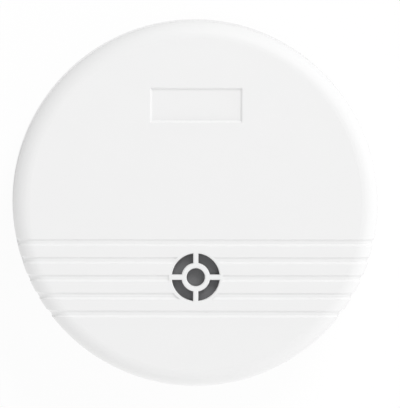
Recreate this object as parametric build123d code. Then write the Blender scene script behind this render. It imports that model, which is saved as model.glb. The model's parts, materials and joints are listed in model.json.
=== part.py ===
from build123d import *
from math import cos, pi, radians, sin, sqrt, tan
import os

# Round water leak detector that stands on a plant room floor. Two moulded shells hold a battery,
# a circuit board and a sounder. Three metal probes carry the housing and sense water between them.
# Millimetres. z = 0 is the floor, +Z goes up through the face, +Y points at the name plate recess.

# Housing
overall_diameter = 100.0      # rim of the base, the widest part
overall_height = 32.0         # floor to face
shell_wall = 2.2              # cover, face and side alike
edge_radius = 4.5             # round between the face and the side
side_draft = 1.0              # degrees, on both shells
seam_height = 10.0            # floor to the joint between base and cover
seam_step = 0.4               # how far the base stands outside the cover
base_floor = 2.2
base_edge_radius = 2.0
skirt_lip = 1.3               # wall left on the cover outside the lip of the base
lip_wall = 1.0                # lip of the base, inside the cover
lip_height = 2.7
seal_height = 0.8             # ring between the top of the lip and the cover
fit_gap = 0.15                # between moulded parts that slide together

# Face
groove_count = 5
groove_pitch = 4.81
groove_width = 1.85
groove_depth = 0.45
groove_middle_y = -19.85
groove_bends = 0.75, 0.38     # where its round section is bent, as shares of half its width
plate_width = 24.85           # bare recess for a name plate
plate_height = 9.35
plate_depth = 0.65
plate_slope = 0.55            # run of its sloping walls
plate_y = 26.75
grille_y = -19.6
grille_diameter = 12.95
grille_ring_diameter = 7.7
grille_hole_diameter = 4.95
grille_bar = 1.4
grille_chamfer = 0.25
grille_land = 0.8             # plain ring where the grooves stop

# Sounder and circuit board
sounder_diameter = 24.0
sounder_chamfer = 0.5
sounder_pin_pitch = 15.0
sounder_pin_diameter = 0.8
gasket_height = 0.5
gasket_bore = 15.0
gasket_diameter = 22.5
collar_gap = 0.3              # cover's collar round the sounder
collar_wall = 1.2
collar_depth = 5.0
board_thickness = 1.6
board_drop = 4.5              # its top lies this far under the roof of the battery bay
board_edge_gap = 1.6          # to the side of the cover
board_slot_gap = 1.0          # to the battery bay and the screw pillars
board_arm_end = 28.0          # y of the ends of its two arms
lead_gap = 0.1                # round a pin or a screw in its hole

# Battery and its bay
battery_length = 48.5         # over the terminals
battery_width = 26.5
battery_thickness = 17.5
battery_corner_radius = 2.2
battery_rim = 0.7             # bevel round both ends
terminal_height = 2.1
terminal_pitch = 12.7
stud_terminal_diameter = 5.8
socket_terminal_diameter = 8.4
socket_terminal_bore = 5.4
battery_gap = 0.3
bay_y = 16.0
bay_wall = 1.6
bay_corner_radius = 2.5
contact_space = 2.4           # between the terminals and the end wall of the bay
contact_thickness = 0.4
contact_width = 4.0
contact_tail = 4.5            # length that lies on the board
contact_bow = 2.0             # half the height of the bowed part
contact_bend = 0.5
contact_clearance = 0.1

# Battery door
door_thickness = 2.4
door_overlap = 0.9            # what it covers round the mouth of the bay
door_gap = 0.3                # round its edges
door_seat_gap = 0.2           # under the seat and under the battery
door_corner_radius = 2.0
door_rib_height = 0.6
door_rib_width = 1.5
door_rib_pitch = 16.0
hinge_pin_diameter = 1.4
hinge_pin_length = 1.5
hinge_clearance = 0.05
tongue_width = 9.0            # springy middle of the free edge
tongue_length = 7.0
tongue_slot = 0.8
tongue_bead = 0.15            # bead that holds the door shut, drawn clear of its seat
frame_wall = 3.0              # thick floor round the door
seat_thickness = 1.3
notch_radius = 6.0            # place for a fingertip
notch_depth = 1.2

# Probes and screws
probe_front_inset = 12.0      # from the rim to the front probe
probe_bay_gap = 6.5           # from the side of the battery bay to the middle of the left and right probes
probe_rear_y = 17.25
probe_diameter = 3.0
probe_head_diameter = 8.0
probe_head_height = 1.5       # lifts the base off the floor
probe_head_chamfer = 0.4
probe_tube_diameter = 7.0
probe_tip = 0.8               # above its nut
probe_seal_height = 0.6
nut_width = 5.5
nut_height = 2.4
screw_inset = 9.0             # from the rim to a housing screw
screw_angles = (90.0, 210.0, 330.0)
screw_diameter = 2.6
screw_length = 12.0
screw_head_diameter = 5.6
screw_head_height = 2.0
screw_head_chamfer = 0.7
screw_head_gap = 0.4
screw_web = 3.0               # plastic under the head
screw_tube_diameter = 8.6
pillar_diameter = 6.5
pillar_rib = 1.2
pillar_rib_depth = 8.0
recess_width = 0.9            # cross recess in the screws
recess_length = 3.0
recess_depth = 0.7

# Parts on the board, x and y of each
chip_at = (22.0, -7.0)
coil_at = (22.5, -27.0)
capacitor_at = (-22.0, -28.0)
transistor_at = (-21.0, -12.0)
resistor_rows = ((17.0, -14.0), (21.0, -14.0), (25.0, -14.0), (29.0, -14.0), (-27.0, -6.0), (-23.0, -6.0))
filter_rows = ((32.0, -9.0), (32.0, -5.0), (-30.0, -12.0))
chip_length = 8.7
chip_width = 3.9
chip_height = 1.5
chip_lead_pitch = 1.27
chip_lead_count = 7
chip_lead_reach = 1.05
chip_lead_width = 0.42
chip_lead_thickness = 0.25
coil_diameter = 8.0
coil_height = 5.0
coil_flange = 1.0
coil_wire_depth = 0.7
capacitor_diameter = 6.3
capacitor_height = 6.0
capacitor_crimp = 0.35
capacitor_crimp_height = 1.2
transistor_width = 4.6
transistor_depth = 3.6
transistor_height = 4.6
transistor_leg = 0.45
transistor_leg_pitch = 1.27
transistor_standoff = 1.0
small_length = 2.0
small_width = 1.25
resistor_height = 0.55
filter_height = 0.9

# Worked out from the sizes above
cut_over = 1.0                                # how far a cut runs past a face
overall_radius = overall_diameter / 2
skirt_radius = overall_radius - seam_step
lean = radians(side_draft)
edge_z = overall_height - edge_radius
edge_end_z = edge_z + edge_radius * sin(lean)
edge_r = skirt_radius - (edge_end_z - seam_height) * tan(lean) - edge_radius * cos(lean)
ceiling = overall_height - shell_wall
underside = probe_head_height
floor_top = underside + base_floor
in_floor = underside + base_floor / 2
lip_top = seam_height + lip_height
rebate_top = lip_top + seal_height
rebate_radius = skirt_radius - skirt_lip
lip_radius = rebate_radius - fit_gap
tray_radius = lip_radius - lip_wall
sounder_top = ceiling - gasket_height
board_radius = skirt_radius - shell_wall - board_edge_gap
bay_half_x = (battery_length + contact_space) / 2 + battery_gap
bay_half_y = battery_width / 2 + battery_gap
bay_outer_x = bay_half_x + bay_wall
door_top = underside + door_thickness
battery_low = door_top + door_rib_height + door_seat_gap
terminal_z = battery_low + battery_thickness / 2
bay_roof = battery_low + battery_thickness + battery_gap
board_top = bay_roof - board_drop
board_low = board_top - board_thickness
battery_end = bay_half_x - battery_gap
terminal_x = battery_end - battery_length
door_half_x = bay_half_x + door_overlap
door_radius = door_thickness / 2
hinge_y = bay_y - bay_half_y - door_overlap + door_radius
hinge_z = underside + door_radius
door_free_y = bay_y + bay_half_y + door_overlap
seat_low = door_top + door_seat_gap
frame_top = seat_low + seat_thickness
probe_x = bay_outer_x + probe_bay_gap
probe_front_y = probe_front_inset - overall_radius
probes_at = {"front": (0, probe_front_y), "right": (probe_x, probe_rear_y), "left": (-probe_x, probe_rear_y)}
screw_circle = overall_radius - screw_inset
screw_seat = lip_top - screw_web
rib_low = ceiling - pillar_rib_depth
plan = Plane.XZ                               # sections are drawn with x across and y up


def upright(radius, low, high, at=(0.0, 0.0)):
    """Cylinder from z = low to z = high."""
    lift = Align.CENTER, Align.CENTER, Align.MIN
    return Pos(at[0], at[1], low) * Cylinder(radius, high - low, align=lift)


def ring(outer, inner, low, high, at=(0.0, 0.0)):
    """Tube from z = low to z = high."""
    return upright(outer, low, high, at) - upright(inner, low - cut_over, high + cut_over, at)


def block(half_x, y_low, y_high, low, high):
    """Box that is centred on x = 0."""
    lift = Align.CENTER, Align.MIN, Align.MIN
    return Pos(0, y_low, low) * Box(2 * half_x, y_high - y_low, high - low, align=lift)


def along_x(radius, half_length, y, z):
    """Cylinder with its axis along X, centred on x = 0."""
    return Pos(0, y, z) * Rot(0, 90, 0) * Cylinder(radius, 2 * half_length)


def on_circle(radius, angle):
    """Point at an angle on a circle round the middle."""
    return radius * cos(radians(angle)), radius * sin(radians(angle))


def cross_recess():
    """Cross for a screwdriver, cut up from z = 0."""
    slots = Rectangle(recess_length, recess_width) + Rectangle(recess_width, recess_length)
    return extrude(slots, amount=recess_depth)


def cover_section(inset, foot):
    """Half section of the outside of the cover, moved inwards by inset and cut off at z = foot."""
    corner = edge_radius - inset
    end_r = edge_r + corner * cos(lean)
    end_z = edge_z + corner * sin(lean)
    foot_r = end_r + (end_z - foot) * tan(lean)
    top_z = edge_z + corner
    outline = Polyline((edge_r, top_z), (0, top_z), (0, foot), (foot_r, foot), (end_r, end_z))
    outline += CenterArc((edge_r, edge_z), corner, side_draft, 90 - side_draft)
    return plan * make_face(outline)


def groove_section(y, inset):
    """What lies outside the cover in the plane at y, when its surface is moved inwards by inset."""
    corner = edge_radius - inset
    foot = seam_height - cut_over
    bend = [(edge_r + corner * cos(turn), edge_z + corner * sin(turn)) for turn in (lean, pi / 4, pi / 2)]
    foot_r = bend[0][0] + (bend[0][1] - foot) * tan(lean)
    right = [(sqrt(r ** 2 - y ** 2), z) for r, z in [(foot_r, foot), *bend]]
    left = [(-x, z) for x, z in right]
    outline = Line(left[0], left[1]) + ThreePointArc(left[1], left[2], left[3])
    outline += Line(left[3], right[3])
    outline += ThreePointArc(right[3], right[2], right[1])
    outline += Line(right[1], right[0])
    outside = overall_radius + 2 * cut_over
    above = overall_height + 2 * cut_over
    outline += Polyline(right[0], (outside, foot), (outside, above))
    outline += Polyline((outside, above), (-outside, above), (-outside, foot), left[0])
    return plan.offset(-y) * make_face(outline)


def groove(y):
    """Groove of round section across the face at y, over both edges and down the side to the seam."""
    half = groove_width / 2
    radius = (half ** 2 + groove_depth ** 2) / (2 * groove_depth)
    bends = [half * share for share in groove_bends]
    right = [(bend, sqrt(radius ** 2 - bend ** 2) - radius + groove_depth) for bend in bends]
    slope = (half - right[0][0]) / right[0][1]
    right.insert(0, (half + cut_over * slope, -cut_over))
    left = [(-side, inset) for side, inset in right]
    return loft([groove_section(y + side, inset) for side, inset in left + right[::-1]], ruled=True)


def grille_openings():
    """Round hole and four segments between a ring and cross bars, with a chamfer at the face."""
    openings = Circle(grille_diameter / 2) - Circle(grille_ring_diameter / 2)
    openings -= Rectangle(grille_bar, grille_diameter)
    openings -= Rectangle(grille_diameter, grille_bar)
    openings += Circle(grille_hole_diameter / 2)
    ways = Pos(0, 0, ceiling - cut_over) * extrude(openings, amount=shell_wall + cut_over)
    ways += Pos(0, 0, overall_height - grille_chamfer) * extrude(openings, amount=2 * grille_chamfer, taper=-45)
    return Pos(0, grille_y, 0) * ways


def plate_recess():
    """Bare recess with sloping walls."""
    mouth = Rectangle(plate_width, plate_height)
    bed = Rectangle(plate_width - 2 * plate_slope, plate_height - 2 * plate_slope)
    return Pos(0, plate_y, overall_height) * loft([Pos(0, 0, -plate_depth) * bed, mouth])


def screw_pillar(angle):
    """Pillar for a housing screw, tied by a rib to the side of the cover, ending half way into its wall."""
    at = on_circle(screw_circle, angle)
    pillar = upright(pillar_diameter / 2, lip_top, overall_height, at)
    rib = Box(screw_inset, pillar_rib, overall_height - rib_low, align=(Align.MIN, Align.CENTER, Align.MIN))
    pillar += Rot(0, 0, angle) * Pos(screw_circle, 0, rib_low) * rib
    bore_top = screw_seat + screw_length + cut_over
    pillar -= upright(screw_diameter / 2 + lead_gap / 2, lip_top - cut_over, bore_top, at)
    return pillar & revolve(cover_section(shell_wall / 2, lip_top), Axis.Z)


def top_cover():
    """Moulded cover with its face, grille, sounder collar and screw pillars."""
    cover = revolve(cover_section(0, seam_height), Axis.Z)
    cover -= revolve(cover_section(shell_wall, seam_height - cut_over), Axis.Z)
    cover -= upright(rebate_radius, seam_height - cut_over, rebate_top)
    collar_bore = sounder_diameter / 2 + collar_gap
    middle = 0, grille_y
    collar_low = ceiling - collar_depth
    cover += ring(collar_bore + collar_wall, collar_bore, collar_low, ceiling + shell_wall / 2, middle)
    for angle in screw_angles:
        cover += screw_pillar(angle)
    land = upright(grille_diameter / 2 + grille_land, ceiling, overall_height + cut_over, middle)
    for step in range(groove_count):
        offset_y = (step - (groove_count - 1) / 2) * groove_pitch
        cover -= groove(groove_middle_y + offset_y) - land
    cover -= plate_recess()
    return cover - grille_openings()


def base_tray():
    """Moulded base with the battery bay, the door frame and the tubes for probes and screws."""
    foot_radius = overall_radius - (seam_height - underside) * tan(lean)
    corners = (0, underside), (foot_radius, underside), (overall_radius, seam_height), (0, seam_height)
    outline = FilletPolyline(*corners, radius=[0, base_edge_radius, 0, 0], close=True)
    tray = revolve(plan * make_face(outline), Axis.Z)
    tray += upright(lip_radius, floor_top, lip_top)
    tray -= upright(tray_radius, floor_top, lip_top + cut_over)
    tray += bay_walls()
    for at in probes_at.values():
        tray += upright(probe_tube_diameter / 2, in_floor, board_low, at)
    for angle in screw_angles:
        tray += upright(screw_tube_diameter / 2, in_floor, lip_top, on_circle(screw_circle, angle))
    tray -= door_opening()
    for at in probes_at.values():
        tray -= upright(probe_diameter / 2 + lead_gap, underside - cut_over, board_low + cut_over, at)
        tray -= upright(probe_head_diameter / 2, underside - cut_over, underside + probe_seal_height, at)
    for angle in screw_angles:
        at = on_circle(screw_circle, angle)
        tray -= upright(screw_head_diameter / 2 + screw_head_gap, underside - cut_over, screw_seat, at)
        tray -= upright(screw_diameter / 2 + lead_gap, underside, lip_top + cut_over, at)
    return tray


def bay_walls():
    """Closed box over the battery, with a thick floor round the door, before it is hollowed."""
    sleeve = RectangleRounded(2 * bay_outer_x, 2 * (bay_half_y + bay_wall), bay_corner_radius)
    walls = Pos(0, bay_y, in_floor) * extrude(sleeve, amount=bay_roof + bay_wall - in_floor)
    reach = door_gap + frame_wall
    y_low = hinge_y - door_radius - reach
    walls += block(door_half_x + reach, y_low, door_free_y + reach, in_floor, frame_top)
    cavity = Pos(0, bay_y, 0) * Rectangle(2 * bay_half_x, 2 * bay_half_y)
    walls -= extrude(cavity, amount=bay_roof)
    slot = Box(2 * bay_wall, contact_width + 2 * contact_clearance, contact_thickness + 2 * contact_clearance)
    slot_z = board_top + contact_thickness / 2
    for side in (-1, 1):
        walls -= Pos(-bay_half_x - bay_wall / 2, bay_y + side * terminal_pitch / 2, slot_z) * slot
    return walls


def door_opening():
    """Mouth of the bay, the bed of the door, its two pin sockets and the place for a fingertip."""
    cavity = Pos(0, bay_y, underside - cut_over) * Rectangle(2 * bay_half_x, 2 * bay_half_y)
    cut = extrude(cavity, amount=seat_low)
    y_low = hinge_y - door_radius - door_gap
    cut += block(door_half_x + door_gap, y_low, door_free_y + door_gap, underside - cut_over, seat_low)
    socket_half = door_half_x + hinge_pin_length + door_gap
    cut += along_x(hinge_pin_diameter / 2 + hinge_clearance, socket_half, hinge_y, hinge_z)
    return cut + upright(notch_radius, underside - cut_over, underside + notch_depth, (0, door_free_y))


def battery_door():
    """Door plate with a round hinge edge, stub pins, a springy tongue and two ribs under the battery."""
    door = block(door_half_x, hinge_y, door_free_y, underside, door_top)
    door = fillet(door.edges().filter_by(Axis.Z).group_by(Axis.Y)[-1], door_corner_radius)
    door += along_x(door_radius, door_half_x, hinge_y, hinge_z)
    door += along_x(hinge_pin_diameter / 2, door_half_x + hinge_pin_length, hinge_y, hinge_z)
    slot = Box(tongue_slot, 2 * tongue_length, 2 * door_thickness)
    rib_half = bay_half_x - contact_space - battery_gap
    rib_top = door_top + door_rib_height
    for side in (-1, 1):
        door -= Pos(side * (tongue_width + tongue_slot) / 2, door_free_y, hinge_z) * slot
        rib_y = bay_y + side * door_rib_pitch / 2
        door += block(rib_half, rib_y - door_rib_width / 2, rib_y + door_rib_width / 2, door_top, rib_top)
    bead = along_x(2 * tongue_bead, tongue_width / 2, door_free_y - tongue_bead, hinge_z)
    return door + bead


def battery():
    """Sealed block battery with a stud terminal and a socket terminal at its left end."""
    can_length = battery_length - terminal_height
    section = Plane.YZ * RectangleRounded(battery_width, battery_thickness, battery_corner_radius)
    can = extrude(section, amount=can_length)
    can = chamfer(can.faces().filter_by(Axis.X).edges(), battery_rim)
    block_battery = Pos(battery_end - can_length, bay_y, terminal_z) * can
    end = Pos(terminal_x + terminal_height / 2, bay_y, terminal_z) * Rot(0, 90, 0)
    stud = Cylinder(stud_terminal_diameter / 2, terminal_height)
    socket = Cylinder(socket_terminal_diameter / 2, terminal_height)
    socket -= Cylinder(socket_terminal_bore / 2, terminal_height)
    block_battery += end * Pos(0, terminal_pitch / 2, 0) * stud
    return block_battery + end * Pos(0, -terminal_pitch / 2, 0) * socket


def battery_contact(side):
    """Sprung strip from the board, through the wall of the bay, to one terminal of the battery."""
    half = contact_thickness / 2
    leg_x = -bay_half_x + contact_clearance + half
    tail_x = -bay_outer_x - contact_tail
    bow_x = terminal_x - contact_clearance - half
    top = board_top + half
    corners = [(tail_x, top), (leg_x, top), (leg_x, terminal_z + contact_bow)]
    corners += [(bow_x, terminal_z), (leg_x, terminal_z - contact_bow)]
    line = FilletPolyline(*corners, radius=contact_bend)
    strip = plan * make_face(offset(line, half, kind=Kind.INTERSECTION))
    return Pos(0, bay_y + side * terminal_pitch / 2, 0) * extrude(strip, amount=contact_width / 2, both=True)


def seam_seal():
    """Flat ring on the lip of the base."""
    return ring(lip_radius, tray_radius, lip_top, rebate_top)


def circuit_board():
    """Horseshoe board on the three probe tubes, open round the battery bay."""
    outline = Circle(board_radius)
    gap_low = bay_y - bay_half_y - bay_wall - board_slot_gap
    gap_size = 2 * (bay_outer_x + board_slot_gap), board_radius - gap_low
    outline -= Pos(0, gap_low) * Rectangle(*gap_size, align=(Align.CENTER, Align.MIN))
    beyond = Rectangle(overall_diameter, overall_radius, align=(Align.CENTER, Align.MIN))
    outline -= Pos(0, board_arm_end) * beyond
    pass_radius = pillar_diameter / 2 + board_slot_gap
    for angle in screw_angles[1:]:
        way = Pos(screw_circle, 0) * Circle(pass_radius)
        way += Pos(screw_circle, 0) * Rectangle(screw_inset, 2 * pass_radius, align=(Align.MIN, Align.CENTER))
        outline -= Rot(0, 0, angle) * way
    for at in probes_at.values():
        outline -= Pos(*at) * Circle(probe_diameter / 2 + lead_gap)
    for side in (-1, 1):
        outline -= Pos(side * sounder_pin_pitch / 2, grille_y) * Circle(sounder_pin_diameter / 2 + lead_gap)
    return Pos(0, 0, board_low) * extrude(outline, amount=board_thickness)


def sounder():
    """Round sounder on two pins, its top close under the grille."""
    can = upright(sounder_diameter / 2, board_top, sounder_top)
    can = chamfer(can.edges().group_by(Axis.Z)[-1], sounder_chamfer)
    pin_low = board_low - cut_over
    for side in (-1, 1):
        can += upright(sounder_pin_diameter / 2, pin_low, board_top, (side * sounder_pin_pitch / 2, 0))
    return Pos(0, grille_y, 0) * can


def sounder_gasket():
    """Foam ring that seals the sounder to the back of the face."""
    return ring(gasket_diameter / 2, gasket_bore / 2, sounder_top, ceiling, (0, grille_y))


def probe(at):
    """Metal screw whose head is a foot of the housing."""
    head = upright(probe_head_diameter / 2, 0, probe_head_height)
    head = chamfer(head.edges().group_by(Axis.Z)[0], probe_head_chamfer)
    shank = upright(probe_diameter / 2, 0, board_top + nut_height + probe_tip)
    shank = chamfer(shank.edges().group_by(Axis.Z)[-1], probe_tip / 2)
    return Pos(*at) * (head + shank - cross_recess())


def probe_seal(at):
    """Soft washer between the head of a probe and the base."""
    return ring(probe_head_diameter / 2, probe_diameter / 2, underside, underside + probe_seal_height, at)


def probe_nut(at):
    """Hexagon nut that clamps the board on a probe tube."""
    hexagon = RegularPolygon(nut_width / 2, 6, major_radius=False) - Circle(probe_diameter / 2 + lead_gap / 2)
    return Pos(at[0], at[1], board_top) * extrude(hexagon, amount=nut_height)


def housing_screw(at):
    """Pan head screw from the base up into a pillar of the cover."""
    head = upright(screw_head_diameter / 2, 0, screw_head_height)
    head = chamfer(head.edges().group_by(Axis.Z)[0], screw_head_chamfer)
    shank = upright(screw_diameter / 2, screw_head_height, screw_head_height + screw_length)
    return Pos(at[0], at[1], screw_seat - screw_head_height) * (head + shank - cross_recess())


def on_board(at):
    """Place on top of the board."""
    return Pos(at[0], at[1], board_top)


def microcontroller():
    """Flat chip with bent leads along both sides."""
    floor = Align.CENTER, Align.CENTER, Align.MIN
    chip = Pos(0, 0, chip_lead_thickness) * Box(chip_length, chip_width, chip_height, align=floor)
    shoulder = Box(chip_lead_width, chip_width + chip_lead_reach, chip_lead_thickness)
    rise = chip_height / 2 + chip_lead_thickness / 2
    post = Box(chip_lead_width, chip_lead_thickness, rise, align=floor)
    toe = Align.CENTER, Align.MIN, Align.MIN
    foot = Box(chip_lead_width, chip_lead_reach / 2, chip_lead_thickness, align=toe)
    for step in range(chip_lead_count):
        x = (step - (chip_lead_count - 1) / 2) * chip_lead_pitch
        chip += Pos(x, 0, rise) * shoulder
        for turn in (0, 180):
            leg = Pos(0, (chip_width + chip_lead_reach - chip_lead_thickness) / 2, 0) * post
            leg += Pos(0, (chip_width + chip_lead_reach) / 2 - chip_lead_thickness, 0) * foot
            chip += Pos(x, 0, 0) * Rot(0, 0, turn) * leg
    return on_board(chip_at) * chip


def drive_coil():
    """Wound drum between two flanges."""
    drum = upright(coil_diameter / 2, 0, coil_height)
    drum -= ring(coil_diameter, coil_diameter / 2 - coil_wire_depth, coil_flange, coil_height - coil_flange)
    return on_board(coil_at) * drum


def reservoir_capacitor():
    """Round capacitor with a crimped neck near the board."""
    radius = capacitor_diameter / 2
    neck = radius - capacitor_crimp
    corners = [(0, 0), (radius, 0), (radius, capacitor_crimp_height - capacitor_crimp)]
    corners += [(neck, capacitor_crimp_height), (radius, capacitor_crimp_height + capacitor_crimp)]
    corners += [(radius, capacitor_height - capacitor_crimp), (neck, capacitor_height), (0, capacitor_height)]
    return on_board(capacitor_at) * revolve(plan * make_face(Polyline(*corners, close=True)), Axis.Z)


def drive_transistor():
    """Half-round transistor on three legs."""
    flat_y = transistor_width / 2 - transistor_depth
    section = Circle(transistor_width / 2)
    section -= Pos(0, flat_y) * Rectangle(transistor_width, transistor_width, align=(Align.CENTER, Align.MAX))
    body = Pos(0, 0, transistor_standoff) * extrude(section, amount=transistor_height)
    floor = Align.CENTER, Align.CENTER, Align.MIN
    leg = Box(transistor_leg, transistor_leg, transistor_standoff, align=floor)
    for step in (-1, 0, 1):
        body += Pos(step * transistor_leg_pitch, 0, 0) * leg
    return on_board(transistor_at) * body


def small_part(at, height):
    """Resistor or filter capacitor, flat on the board."""
    floor = Align.CENTER, Align.CENTER, Align.MIN
    return on_board(at) * Box(small_length, small_width, height, align=floor)


def all_nodes():
    """Every sub-part by its name, each a list of solids."""
    screws_at = [on_circle(screw_circle, angle) for angle in screw_angles]
    nodes = {
        "top_cover": [top_cover()],
        "base_tray": [base_tray()],
        "battery_door": [battery_door()],
        "seam_seal": [seam_seal()],
        "circuit_board": [circuit_board()],
        "sounder": [sounder()],
        "sounder_gasket": [sounder_gasket()],
        "battery": [battery()],
        "battery_contact_positive": [battery_contact(1)],
        "battery_contact_negative": [battery_contact(-1)],
        "housing_screws": [housing_screw(at) for at in screws_at],
        "probe_nuts": [probe_nut(at) for at in probes_at.values()],
        "probe_seals": [probe_seal(at) for at in probes_at.values()],
        "microcontroller": [microcontroller()],
        "drive_coil": [drive_coil()],
        "reservoir_capacitor": [reservoir_capacitor()],
        "drive_transistor": [drive_transistor()],
        "chip_resistors": [small_part(at, resistor_height) for at in resistor_rows],
        "filter_capacitors": [small_part(at, filter_height) for at in filter_rows],
    }
    for name, at in probes_at.items():
        nodes[f"probe_{name}"] = [probe(at)]
    return nodes


os.makedirs("parts", exist_ok=True)
for node, solids in all_nodes().items():
    shape = solids[0] if len(solids) == 1 else Compound(solids)
    export_step(shape, f"parts/{node}.step")
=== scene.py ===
import json
from math import cos, pi, radians, sin

import bmesh
import bpy
from mathutils import Matrix, Vector


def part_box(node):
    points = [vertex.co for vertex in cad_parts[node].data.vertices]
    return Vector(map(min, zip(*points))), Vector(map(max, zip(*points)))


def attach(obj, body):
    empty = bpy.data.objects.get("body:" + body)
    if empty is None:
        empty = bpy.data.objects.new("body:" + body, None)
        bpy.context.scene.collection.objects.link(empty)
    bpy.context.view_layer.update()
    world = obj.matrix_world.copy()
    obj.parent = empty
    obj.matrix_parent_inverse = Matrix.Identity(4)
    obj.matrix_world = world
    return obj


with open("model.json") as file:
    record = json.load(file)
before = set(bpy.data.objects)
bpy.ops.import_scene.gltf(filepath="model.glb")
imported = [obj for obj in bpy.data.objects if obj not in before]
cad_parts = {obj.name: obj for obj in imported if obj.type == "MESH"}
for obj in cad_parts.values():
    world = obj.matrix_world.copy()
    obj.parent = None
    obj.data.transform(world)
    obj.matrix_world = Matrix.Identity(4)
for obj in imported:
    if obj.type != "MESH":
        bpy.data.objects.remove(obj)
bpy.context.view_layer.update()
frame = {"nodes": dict(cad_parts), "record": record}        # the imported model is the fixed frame
mm = 0.001               # lengths in the settings are in millimetres, if no other unit is noted
slotColour = {m["slot"]: m["base_color"][:3] for m in frame["record"]["materials"]}
tinned = (0.62, 0.62, 0.61, 1)     # legs and ends of the parts on the board
print("frame loaded:", len(frame["nodes"]), "nodes")


# shader helpers

def plug(slot, value):  # link a socket, or set a plain value
    if isinstance(value, Socket):
        slot.id_data.links.new(value.end, slot)
    else:
        slot.default_value = value


class Socket:  # an output of a node that can be used in sums
    def __init__(self, end):
        self.end = end

    def beside(self, word):  # another output of the same node
        return Socket(self.end.node.outputs[word])

    def math(self, operation, first, second):
        node = self.end.id_data.nodes.new("ShaderNodeMath")
        node.operation = operation
        plug(node.inputs[0], first)
        plug(node.inputs[1], second)
        return Socket(node.outputs[0])

    def __add__(self, other):
        return self.math("ADD", self, other)

    def __radd__(self, other):
        return self.math("ADD", other, self)

    def __sub__(self, other):
        return self.math("SUBTRACT", self, other)

    def __rsub__(self, other):
        return self.math("SUBTRACT", other, self)

    def __mul__(self, other):
        return self.math("MULTIPLY", self, other)

    def __rmul__(self, other):
        return self.math("MULTIPLY", other, self)

    def __truediv__(self, other):
        return self.math("DIVIDE", self, other)

    def __rtruediv__(self, other):
        return self.math("DIVIDE", other, self)

    def __pow__(self, other):
        return self.math("POWER", self, other)

    def __rpow__(self, other):
        return self.math("POWER", other, self)

    def __gt__(self, other):
        return self.math("GREATER_THAN", self, other)

    def __lt__(self, other):
        return self.math("LESS_THAN", self, other)


class Finish:  # one node tree, of a material or of the world
    def __init__(self, name, owner=None):
        self.owner = owner or bpy.data.materials.new(name)
        self.owner.use_nodes = True
        self.tree = self.owner.node_tree
        self.shader = self.tree.nodes.get("Principled BSDF")

    def node(self, kind, settings=None, sockets=None, output=0):
        made = self.tree.nodes.new(kind)
        for word, value in (settings or {}).items():
            setattr(made, word, value)
        for word, value in (sockets or {}).items():
            plug(made.inputs[word], value)
        return Socket(made.outputs[output])

    def place(self, shift=(0, 0, 0), size=(1, 1, 1)):  # object coordinates about a point
        spot = self.node("ShaderNodeTexCoord", output="Object")
        away = [-s * k for s, k in zip(shift, size)]
        return self.node("ShaderNodeMapping", None, {"Vector": spot, "Location": away, "Scale": size})

    def axes(self, vector):  # x, y and z of a vector
        x = self.node("ShaderNodeSeparateXYZ", None, {0: vector}, "X")
        return x, x.beside("Y"), x.beside("Z")

    def fromRow(self, start, pitch):  # mm along X from the nearest of a row of places
        along = self.axes(self.place((start * mm, 0, 0)))[0] / mm
        return self.node("ShaderNodeMath", {"operation": "PINGPONG"}, {0: along, 1: pitch / 2})

    def noise(self, feature, detail=2.0, place=None):  # feature is the size of a lump
        sockets = {"Vector": place or self.place(), "Scale": 1 / (feature * mm), "Detail": detail}
        return self.node("ShaderNodeTexNoise", None, sockets)

    def cells(self, feature, settings=None, output="Distance"):  # distance is 0 in the middle of each cell
        sockets = {"Vector": self.place(), "Scale": 1 / (feature * mm)}
        return self.node("ShaderNodeTexVoronoi", settings, sockets, output)

    def wave(self, settings, pitch, place):
        radiansPerUnit = 20.0            # of the node, at a scale of 1
        scale = 2 * pi / radiansPerUnit / (pitch * mm)
        return self.node("ShaderNodeTexWave", settings, {"Vector": place, "Scale": scale}, "Fac")

    def rings(self, pitch, place):  # round the upright line through a place
        return self.wave({"wave_type": "RINGS", "rings_direction": "Z"}, pitch, place)

    def bands(self, pitch, axis):  # one after another along an axis
        return self.wave({"wave_type": "BANDS", "bands_direction": axis}, pitch, self.place())

    def seen(self):  # 1 for what the camera sees, also in metal or through glass
        camera = self.node("ShaderNodeLightPath", output="Is Camera Ray")
        return camera + camera.beside("Is Glossy Ray") + camera.beside("Is Transmission Ray")

    def mix(self, factor, first, second):  # by number, because the node has a set of sockets for each type
        return self.node("ShaderNodeMix", {"data_type": "RGBA"}, {0: factor, 6: first, 7: second}, 2)

    def mottle(self, factor, colour, tones):  # from a dark to a light tone of one colour
        return self.mix(factor, shade(colour, tones[0]), shade(colour, tones[1]))

    def bump(self, height, depth, under=None):  # depth for a height of 1
        sockets = {"Height": height, "Distance": depth * mm}
        if under:
            sockets["Normal"] = under
        return self.node("ShaderNodeBump", None, sockets)

    def surface(self, **sockets):  # words with _ stand for the shader's own socket names
        for word, value in sockets.items():
            plug(self.shader.inputs[word.replace("_", " ").title().replace("Ior", "IOR")], value)
        return self.owner


def shade(colour, factor):
    return (*[part * factor for part in colour], 1)


def middle(node):  # of its box, in metres
    low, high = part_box(node)
    return [(a + b) / 2 for a, b in zip(low, high)]


# finishes

def whitePlastic():
    settings = {"grain": 0.22, "grainDepth": 0.004, "flow": 9.0, "tones": (0.992, 1.006),
                "rough": 0.54, "roughSpread": 0.1, "gloss": 0.3}
    finish = Finish("white_plastic")
    grain = finish.noise(settings["grain"], detail=3.0)
    flow = finish.noise(settings["flow"], detail=1.0)
    colour = [slotColour["white_plastic"][0]] * 3     # the white is neutral
    rough = settings["rough"] + (grain - 0.5) * settings["roughSpread"]
    return finish.surface(base_color=finish.mottle(flow, colour, settings["tones"]), roughness=rough,
                          specular_ior_level=settings["gloss"],
                          normal=finish.bump(grain, settings["grainDepth"]))


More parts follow.
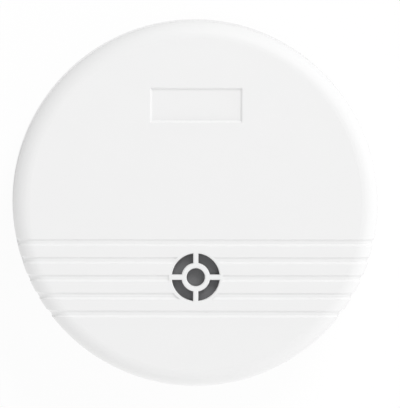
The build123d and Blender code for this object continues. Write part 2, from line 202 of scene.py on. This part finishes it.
def sounderPlastic():
    settings = {"grain": 0.15, "grainDepth": 0.006, "ring": 1.6, "ringDepth": 0.03, "tones": (0.9, 1.1),
                "rough": 0.6, "roughSpread": 0.1}
    finish = Finish("grey_plastic")
    grain = finish.noise(settings["grain"], detail=3.0)
    rings = finish.rings(settings["ring"], finish.place(middle("sounder")))
    tone = finish.mottle(grain, slotColour["grey_plastic"], settings["tones"])
    rough = settings["rough"] + grain * settings["roughSpread"]
    relief = finish.bump(grain, settings["grainDepth"], under=finish.bump(rings, settings["ringDepth"]))
    return finish.surface(base_color=tone, roughness=rough, normal=relief)


def softRubber():
    settings = {"grain": 0.3, "grainDepth": 0.01, "bloom": 4.0, "tones": (0.8, 1.5),
                "rough": 0.72, "roughSpread": 0.2}
    finish = Finish("seal_rubber")
    grain = finish.noise(settings["grain"], detail=3.0)
    bloom = finish.noise(settings["bloom"])            # pale film that old rubber gets
    tone = finish.mottle(bloom, slotColour["seal_rubber"], settings["tones"])
    rough = settings["rough"] + (bloom - 0.5) * settings["roughSpread"]
    return finish.surface(base_color=tone, roughness=rough, normal=finish.bump(grain, settings["grainDepth"]))


def cellFoam():
    settings = {"cell": 0.35, "cellDepth": 0.12, "tones": (0.5, 1.3), "rough": 0.9, "roughSpread": 0.08}
    finish = Finish("gasket_foam")
    cells = finish.cells(settings["cell"])
    # painted shade: the pits of the foam cells are painted darker, with the same cells as their bump
    tone = finish.mottle(cells, slotColour["gasket_foam"], settings["tones"])
    rough = settings["rough"] + cells * settings["roughSpread"]
    return finish.surface(base_color=tone, roughness=rough, normal=finish.bump(cells, settings["cellDepth"]))


def solderMask():
    settings = {
        "patch": 5.5,                # stretch of board with tracks in one direction
        "alongShare": 0.5,           # share of the patches with tracks along X
        "bareShare": 0.3,            # share of the patches with no tracks
        "track": 0.95,               # from one track to the next
        "crest": 0.6,                # level of the wave where a track begins
        "trackDepth": 0.03,
        "trackTone": 1.5,
        "weave": 0.5,
        "tones": (0.8, 1.0),
        "pad": 4.2,                  # usual distance between pads
        "padRadius": 0.09,           # as a share of that distance
        "level": 0.5,                # square of the normal's z, past which a face counts as flat
        "rough": 0.32,
        "roughSpread": 0.12,
        "edge": (0.42, 0.40, 0.20, 1),
        "tin": (0.60, 0.60, 0.58, 1),
    }
    finish = Finish("board_green")
    patch = finish.cells(settings["patch"], {"voronoi_dimensions": "2D", "distance": "CHEBYCHEV"}, "Color")
    turn, cover = finish.axes(patch)[:2]               # two chances for each patch
    turned = turn > settings["alongShare"]
    across = finish.bands(settings["track"], "X") > settings["crest"]
    along = finish.bands(settings["track"], "Y") > settings["crest"]
    tracks = (across * turned + along * (1 - turned)) * (cover > settings["bareShare"])
    weave = finish.noise(settings["weave"], detail=1.0)
    colour = slotColour["board_green"]
    mask = finish.mottle(weave, colour, settings["tones"])
    mask = finish.mix(tracks, mask, shade(colour, settings["trackTone"]))
    upright = finish.axes(finish.node("ShaderNodeNewGeometry", output="Normal"))[2]
    flat = (upright * upright) > settings["level"]
    pads = (finish.cells(settings["pad"], {"voronoi_dimensions": "2D"}) < settings["padRadius"]) * flat
    tone = finish.mix(flat, settings["edge"], mask)    # cut edge shows the laminate
    tone = finish.mix(pads, tone, settings["tin"])
    rough = settings["rough"] + weave * settings["roughSpread"]
    relief = finish.bump(tracks, settings["trackDepth"])
    return finish.surface(base_color=tone, roughness=rough, metallic=pads, normal=relief)


def batteryJacket():
    settings = {
        "terminal": 2.15,            # lengths from the end with the terminals
        "cap": 3.4,
        "band": 14.0,                # lengths from the other end
        "pinStripe": 0.5,
        "bandMetal": 0.85,
        "grain": 0.6,
        "grainDepth": 0.006,
        "tones": (0.85, 1.15),
        "lacquer": 0.24,
        "roughSpread": 0.12,
        "bandColour": (0.52, 0.53, 0.54, 1),
        "stripeColour": (0.03, 0.03, 0.032, 1),
        "capColour": (0.015, 0.015, 0.016, 1),
        "metalColour": (0.63, 0.62, 0.60, 1),
    }
    low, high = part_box("battery")
    bandStart = (high[0] - low[0]) / mm - settings["band"]
    finish = Finish("battery_jacket")
    along = finish.axes(finish.place((low[0], 0, 0)))[0] / mm
    band = along > bandStart
    stripe = (along > bandStart - settings["pinStripe"]) - band
    terminal = along < settings["terminal"]
    grain = finish.noise(settings["grain"], detail=3.0)
    tone = finish.mottle(grain, slotColour["battery_jacket"], settings["tones"])
    tone = finish.mix(band, tone, settings["bandColour"])
    tone = finish.mix(stripe, tone, settings["stripeColour"])
    tone = finish.mix(along < settings["cap"], tone, settings["capColour"])
    tone = finish.mix(terminal, tone, settings["metalColour"])
    metal = band * settings["bandMetal"] + terminal
    rough = settings["lacquer"] + grain * settings["roughSpread"]
    relief = finish.bump(grain, settings["grainDepth"])
    return finish.surface(base_color=tone, roughness=rough, metallic=metal, normal=relief)


def sprungStrip():
    settings = {"drawn": 0.12, "stretch": 14.0, "drawnDepth": 0.006, "stain": 2.5, "tones": (0.8, 1.08),
                "rough": 0.26, "roughSpread": 0.18}
    finish = Finish("sprung_brass")
    lines = finish.noise(settings["drawn"], place=finish.place(size=(1 / settings["stretch"], 1, 1)))
    stain = finish.noise(settings["stain"], detail=3.0)
    tone = finish.mottle(stain, slotColour["sprung_brass"], settings["tones"])
    rough = settings["rough"] + lines * settings["roughSpread"]
    relief = finish.bump(lines, settings["drawnDepth"])
    return finish.surface(base_color=tone, roughness=rough, metallic=1.0, normal=relief)


def platedZinc():
    settings = {"spangle": 0.7, "tint": (0.60, 0.57, 0.47, 1), "pit": 0.12, "pitDepth": 0.012,
                "rough": 0.34, "roughSpread": 0.3}
    finish = Finish("zinc_steel")
    spangle = finish.noise(settings["spangle"], detail=4.0)
    tone = finish.mix(spangle, shade(slotColour["zinc_steel"], 1.0), settings["tint"])
    rough = settings["rough"] + (spangle - 0.5) * settings["roughSpread"]
    relief = finish.bump(finish.noise(settings["pit"]), settings["pitDepth"])
    return finish.surface(base_color=tone, roughness=rough, metallic=1.0, normal=relief)


def turnedSteel(name, centre):  # centre of the rings that the tool left, in metres
    settings = {"turning": 0.8, "turningDepth": 0.012, "turningRough": 0.06, "groove": 0.6,
                "grooveTone": 0.4, "handling": 1.8, "handlingRough": 0.16, "tones": (0.78, 0.98),
                "rough": 0.24}
    finish = Finish(name)
    turning = finish.rings(settings["turning"], finish.place(centre))
    handling = finish.noise(settings["handling"], detail=3.0)
    colour = slotColour["stainless_steel"]
    tone = finish.mottle(handling, colour, settings["tones"])
    # painted shade: a darker tone painted along the turning rings, in step with their relief
    tone = finish.mix(turning * settings["groove"], tone, shade(colour, settings["grooveTone"]))
    rough = settings["rough"] + turning * settings["turningRough"] + handling * settings["handlingRough"]
    relief = finish.bump(turning, settings["turningDepth"])
    return finish.surface(base_color=tone, roughness=rough, metallic=1.0, normal=relief)


def mouldedEpoxy(name, leads):  # leads tells where the bare metal is
    settings = {"grain": 0.12, "grainDepth": 0.008, "tones": (0.8, 1.3), "rough": 0.5, "roughSpread": 0.15,
                "tinSmooth": 0.22}
    finish = Finish(name)
    grain = finish.noise(settings["grain"])
    metal = leads(finish)
    tone = finish.mix(metal, finish.mottle(grain, slotColour["chip_black"], settings["tones"]), tinned)
    rough = settings["rough"] - metal * settings["tinSmooth"] + (grain - 0.5) * settings["roughSpread"]
    relief = finish.bump(grain, settings["grainDepth"])
    return finish.surface(base_color=tone, roughness=rough, metallic=metal, normal=relief)


def chipLeads(finish):  # what stands out past the long sides of the body
    settings = {"halfBody": 1.96}
    across = finish.axes(finish.place(middle("microcontroller")))[1] / mm
    return (across * across) > settings["halfBody"] ** 2


def transistorLegs(finish):  # what stands under the body
    settings = {"standoff": 0.98}
    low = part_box("drive_transistor")[0]
    return finish.axes(finish.place(low))[2] / mm < settings["standoff"]


def resistorEnds(finish):  # all resistors are in step with the first
    settings = {"first": 17.0, "pitch": 4.0, "halfBody": 0.65}
    return finish.fromRow(settings["first"], settings["pitch"]) > settings["halfBody"]


def woundCoil():
    settings = {"flange": 1.0, "clear": 0.02, "turn": 0.22, "turnDepth": 0.06, "grain": 0.2,
                "grainDepth": 0.01, "tones": (0.7, 1.3), "rough": 0.55, "copper": (0.36, 0.13, 0.05, 1),
                "copperMetal": 0.7, "copperSmooth": 0.3}
    low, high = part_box("drive_coil")
    wireLow = settings["flange"] + settings["clear"]
    wireHigh = (high[2] - low[2]) / mm - wireLow
    finish = Finish("coil_ferrite")
    up = finish.axes(finish.place(low))[2] / mm
    wire = (up > wireLow) * (up < wireHigh)
    turns = finish.bands(settings["turn"], "Z") * wire
    grain = finish.noise(settings["grain"], detail=3.0)
    ferrite = finish.mottle(grain, slotColour["coil_ferrite"], settings["tones"])
    relief = finish.bump(turns, settings["turnDepth"], under=finish.bump(grain, settings["grainDepth"]))
    return finish.surface(base_color=finish.mix(wire, ferrite, settings["copper"]),
                          roughness=settings["rough"] - wire * settings["copperSmooth"],
                          metallic=wire * settings["copperMetal"], normal=relief)


def capacitorSleeve():
    settings = {"stripe": 1.9, "stripeColour": (0.45, 0.46, 0.47, 1), "can": (0.66, 0.66, 0.66, 1),
                "canShare": 0.8, "skin": 0.05, "crease": 0.8, "creaseDepth": 0.01, "tones": (0.8, 1.2),
                "rough": 0.22, "roughSpread": 0.1}
    low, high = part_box("reservoir_capacitor")
    radius = (high[0] - low[0]) / 2
    canTop = high[2] - low[2] - settings["skin"] * mm
    finish = Finish("capacitor_sleeve")
    x, y, up = finish.axes(finish.place((*middle("reservoir_capacitor")[:2], low[2])))
    stripe = x < settings["stripe"] * mm - radius
    can = (up > canTop) * (x * x + y * y < (radius * settings["canShare"]) ** 2)
    crease = finish.noise(settings["crease"])
    tone = finish.mottle(crease, slotColour["capacitor_sleeve"], settings["tones"])
    tone = finish.mix(stripe, tone, settings["stripeColour"])
    tone = finish.mix(can, tone, settings["can"])
    rough = settings["rough"] + crease * settings["roughSpread"]
    relief = finish.bump(crease, settings["creaseDepth"])
    return finish.surface(base_color=tone, roughness=rough, metallic=can, normal=relief)


def firedCeramic():  # all filter capacitors are in step with the middle line
    settings = {"first": 0.0, "pitch": 2.0, "halfBody": 0.65, "speckle": 0.08, "speckleDepth": 0.004,
                "tones": (0.85, 1.15), "rough": 0.42, "roughSpread": 0.08, "tinSmooth": 0.12}
    finish = Finish("filter_ceramic")
    ends = finish.fromRow(settings["first"], settings["pitch"]) > settings["halfBody"]
    speckle = finish.noise(settings["speckle"])
    tone = finish.mix(ends, finish.mottle(speckle, slotColour["filter_ceramic"], settings["tones"]), tinned)
    rough = settings["rough"] - ends * settings["tinSmooth"] + speckle * settings["roughSpread"]
    relief = finish.bump(speckle, settings["speckleDepth"])
    return finish.surface(base_color=tone, roughness=rough, metallic=ends, normal=relief)


slotFinish = {
    "white_plastic": whitePlastic(),
    "grey_plastic": sounderPlastic(),
    "seal_rubber": softRubber(),
    "gasket_foam": cellFoam(),
    "board_green": solderMask(),
    "battery_jacket": batteryJacket(),
    "sprung_brass": sprungStrip(),
    "zinc_steel": platedZinc(),
    "stainless_steel": turnedSteel("stainless_nuts", (0, 0, 0)),
    "coil_ferrite": woundCoil(),
    "capacitor_sleeve": capacitorSleeve(),
    "filter_ceramic": firedCeramic(),
}
nodeFinish = {                       # nodes whose finish follows their own place
    "microcontroller": mouldedEpoxy("chip_epoxy", chipLeads),
    "drive_transistor": mouldedEpoxy("transistor_epoxy", transistorLegs),
    "chip_resistors": mouldedEpoxy("resistor_epoxy", resistorEnds),
}
for probe in ("probe_left", "probe_right", "probe_front"):
    nodeFinish[probe] = turnedSteel(probe + "_steel", middle(probe))
for part in frame["record"]["subparts"]:
    node = frame["nodes"][part["node"]]
    node.data.materials.clear()
    node.data.materials.append(nodeFinish.get(part["node"]) or slotFinish[part["material_slot"]])
print("finishes made:", len(slotFinish) + len(nodeFinish))


# moulded marks on the battery door

def raisedBlock(mesh, size, at):  # sizes and place in metres
    verts = bmesh.ops.create_cube(mesh, size=1.0)["verts"]
    bmesh.ops.scale(mesh, vec=size, verts=verts)
    bmesh.ops.translate(mesh, vec=at, verts=verts)
    mesh.normal_update()
    return list(dict.fromkeys(face for vert in verts for face in vert.link_faces))


def pullOut(mesh, face, way):  # extrude one face along a vector
    joined = any(len(edge.link_faces) > 1 for edge in face.edges)
    made = bmesh.ops.extrude_face_region(mesh, geom=[face])["geom"]
    bmesh.ops.translate(mesh, vec=way, verts=[part for part in made if isinstance(part, bmesh.types.BMVert)])
    if joined:                       # it would be left inside the block
        bmesh.ops.delete(mesh, geom=[face], context="FACES_ONLY")


def soften(mesh, level, corner, edge):  # round the upright corners, then the edges at one level
    settings = {
        "flatAngle": 1.0,            # degrees, below which faces count as one
        "tall": 0.01,                # least rise of an upright edge
        "near": 0.001,               # how close to the level an edge has to be
        "cornerSegments": 4,
        "edgeSegments": 3,
    }
    flatAngle = radians(settings["flatAngle"])
    bmesh.ops.dissolve_limit(mesh, angle_limit=flatAngle, verts=mesh.verts, edges=mesh.edges)
    upright = [e for e in mesh.edges if abs(e.verts[0].co.z - e.verts[1].co.z) > settings["tall"] * mm]
    bmesh.ops.bevel(mesh, geom=upright, offset=corner, segments=settings["cornerSegments"], profile=0.5,
                    affect="EDGES", material=-1)
    crest = [e for e in mesh.edges if all(abs(v.co.z - level) < settings["near"] * mm for v in e.verts)]
    bmesh.ops.bevel(mesh, geom=crest, offset=edge, segments=settings["edgeSegments"], profile=0.5,
                    affect="EDGES", material=-1)


def mouldedPiece(name, mesh, body, slot):
    bmesh.ops.recalc_face_normals(mesh, faces=mesh.faces)
    data = bpy.data.meshes.new(name)
    mesh.to_mesh(data)
    mesh.free()
    data.materials.append(slotFinish[slot])
    piece = bpy.data.objects.new(name, data)
    bpy.context.scene.collection.objects.link(piece)
    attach(piece, body)


def doorGrip():  # ribs for a fingertip on the tongue, and an arrow towards them
    settings = {"ribs": 4, "pitch": 1.5, "fromEdge": 1.5, "length": 6.4, "width": 0.7, "proud": 0.5,
                "sunk": 0.15, "corner": 0.33, "edge": 0.2, "arrowFromEdge": 12.0, "arrowRadius": 2.8}
    low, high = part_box("battery_door")
    crest = low[2] - settings["proud"] * mm            # outer face of the door is its lowest
    height = (settings["proud"] + settings["sunk"]) * mm
    size = settings["length"] * mm, settings["width"] * mm, height
    mesh = bmesh.new()
    for step in range(settings["ribs"]):
        y = high[1] - (settings["fromEdge"] + step * settings["pitch"]) * mm
        raisedBlock(mesh, size, (0, y, crest + height / 2))
    radius = settings["arrowRadius"] * mm
    tip = bmesh.ops.create_circle(mesh, cap_ends=True, segments=3, radius=radius)["verts"]
    bmesh.ops.translate(mesh, vec=(0, high[1] - settings["arrowFromEdge"] * mm, crest), verts=tip)
    pullOut(mesh, tip[0].link_faces[0], (0, 0, height))
    soften(mesh, crest, settings["corner"] * mm, settings["edge"] * mm)
    mouldedPiece("door_grip", mesh, "door", "white_plastic")


def polarityMarks():  # plus and minus inside the door, each beside its contact
    settings = {"width": 1.1, "arm": 1.5, "proud": 0.4, "sunk": 0.15, "corner": 0.18, "edge": 0.15,
                "fromEnd": 7.0, "fromMiddle": 4.4, "ribHeight": 0.6}
    low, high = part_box("battery")
    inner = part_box("battery_door")[1][2] - settings["ribHeight"] * mm     # face between the door's ribs
    crest = inner + settings["proud"] * mm
    size = settings["width"] * mm, settings["width"] * mm, (settings["proud"] + settings["sunk"]) * mm
    x = low[0] + settings["fromEnd"] * mm
    plusSide = 1 if middle("battery_contact_positive")[1] > middle("battery_contact_negative")[1] else -1
    mesh = bmesh.new()
    for plus, side in ((True, plusSide), (False, -plusSide)):
        y = (low[1] + high[1]) / 2 + side * settings["fromMiddle"] * mm
        for face in raisedBlock(mesh, size, (x, y, crest - size[2] / 2)):
            facesX, facesY = round(face.normal.x), round(face.normal.y)
            if facesX or (plus and facesY):
                pullOut(mesh, face, face.normal * (settings["arm"] * mm))
    soften(mesh, crest, settings["corner"] * mm, settings["edge"] * mm)
    mouldedPiece("polarity_marks", mesh, "door", "white_plastic")


doorGrip()
polarityMarks()
print("door marks made")


# floor, light and camera

def studioFloor():
    settings = {
        "size": 4.0,                 # metres
        "drop": 0.05,                # keeps it apart from the flat faces of the probe heads
        "shadow": 0.1,               # share of the floor that takes light and shade
        "colour": 0.97,
    }
    bpy.ops.mesh.primitive_plane_add(size=settings["size"], location=(0, 0, -settings["drop"] * mm))
    floor = bpy.context.object
    floor.name = "studio_floor"
    floor.visible_shadow = False     # light passes, so the underside can be seen too
    floor.visible_diffuse = False
    finish = Finish("floor_white")
    finish.tree.nodes.remove(finish.shader)
    paint = finish.node("ShaderNodeBsdfDiffuse", None, {"Color": shade((1, 1, 1), settings["colour"])})
    glow = finish.node("ShaderNodeEmission", None, {"Color": (1, 1, 1, 1), "Strength": 1.0})
    clear = finish.node("ShaderNodeBsdfTransparent")
    behind = finish.node("ShaderNodeNewGeometry", output="Backfacing")
    plain = finish.seen() * (1 - settings["shadow"])
    white = finish.node("ShaderNodeMixShader", None, {0: plain, 1: paint, 2: glow})
    oneSided = finish.node("ShaderNodeMixShader", None, {0: behind, 1: white, 2: clear})
    plug(finish.tree.nodes["Material Output"].inputs["Surface"], oneSided)
    floor.data.materials.append(finish.owner)


def studioWorld():
    settings = {
        "light": 1.036,              # the even part, and the next three as shares of it
        "right": 0.138,              # more from +X than from -X
        "frontLow": 0.463,           # more from -Y than from +Y, near the horizon
        "upDown": -0.512,            # less from straight above and straight below
        "backdrop": 1.0,             # what the camera sees
    }
    world = bpy.data.worlds.new("studio_world")
    bpy.context.scene.world = world
    finish = Finish("studio_world", world)
    x, y, z = finish.axes(finish.node("ShaderNodeTexCoord", output="Generated"))
    low = (1 - z * z) ** 2           # strongest along the horizon
    slope = x * settings["right"] - y * low * settings["frontLow"] + z * z * settings["upDown"]
    light = (slope + 1) * settings["light"]
    seen = finish.seen()
    background = finish.tree.nodes["Background"]
    plug(background.inputs["Color"], (1, 1, 1, 1))
    plug(background.inputs["Strength"], light * (1 - seen) + seen * settings["backdrop"])


def keySoftbox():
    settings = {
        "azimuth": 65.0,             # degrees from +X towards +Y
        "elevation": 42.0,           # degrees
        "distance": 2.2,             # metres
        "aimHeight": 30.0,
        "size": 1.0,                 # metres across
        "power": 20.5,               # watts
    }
    lamp = bpy.data.lights.new("key_softbox", "AREA")
    lamp.shape = "DISK"
    lamp.size = settings["size"]
    lamp.energy = settings["power"]
    light = bpy.data.objects.new("key_softbox", lamp)
    turn = radians(settings["azimuth"])
    rise = radians(settings["elevation"])
    away = Vector((cos(rise) * cos(turn), cos(rise) * sin(turn), sin(rise)))
    light.location = Vector((0, 0, settings["aimHeight"] * mm)) + away * settings["distance"]
    light.rotation_euler = (-away).to_track_quat("-Z", "Y").to_euler()
    bpy.context.scene.collection.objects.link(light)


def photoCamera():
    settings = {
        "distance": 1.0,             # metres from the middle of the rim
        "lean": (-0.020, 0.043),     # direction to the camera, x and y for a z of 1
        "aim": (1.52, -0.76),        # where the middle of the picture falls
        "rimHeight": 10.0,
        "roll": 0.145,               # degrees
        "lens": 327.2,
        "nearest": 10.0,             # start of what the camera sees
    }
    lens = bpy.data.cameras.new("photo_camera")
    lens.sensor_fit = "HORIZONTAL"
    lens.lens = settings["lens"]
    lens.clip_start = settings["nearest"] * mm
    camera = bpy.data.objects.new("photo_camera", lens)
    bpy.context.scene.collection.objects.link(camera)
    aim = Vector((*settings["aim"], settings["rimHeight"])) * mm
    back = Vector((*settings["lean"], 1)).normalized()
    side = Vector((0, 1, 0)).cross(back).normalized()
    up = back.cross(side)
    turn = Matrix((side, up, back)).transposed().to_4x4() @ Matrix.Rotation(radians(settings["roll"]), 4, "Z")
    camera.matrix_world = Matrix.Translation(aim + back * settings["distance"]) @ turn
    bpy.context.scene.camera = camera


studioFloor()
studioWorld()
keySoftbox()
photoCamera()
bpy.context.scene.view_settings.view_transform = "Standard"
print("stage set")
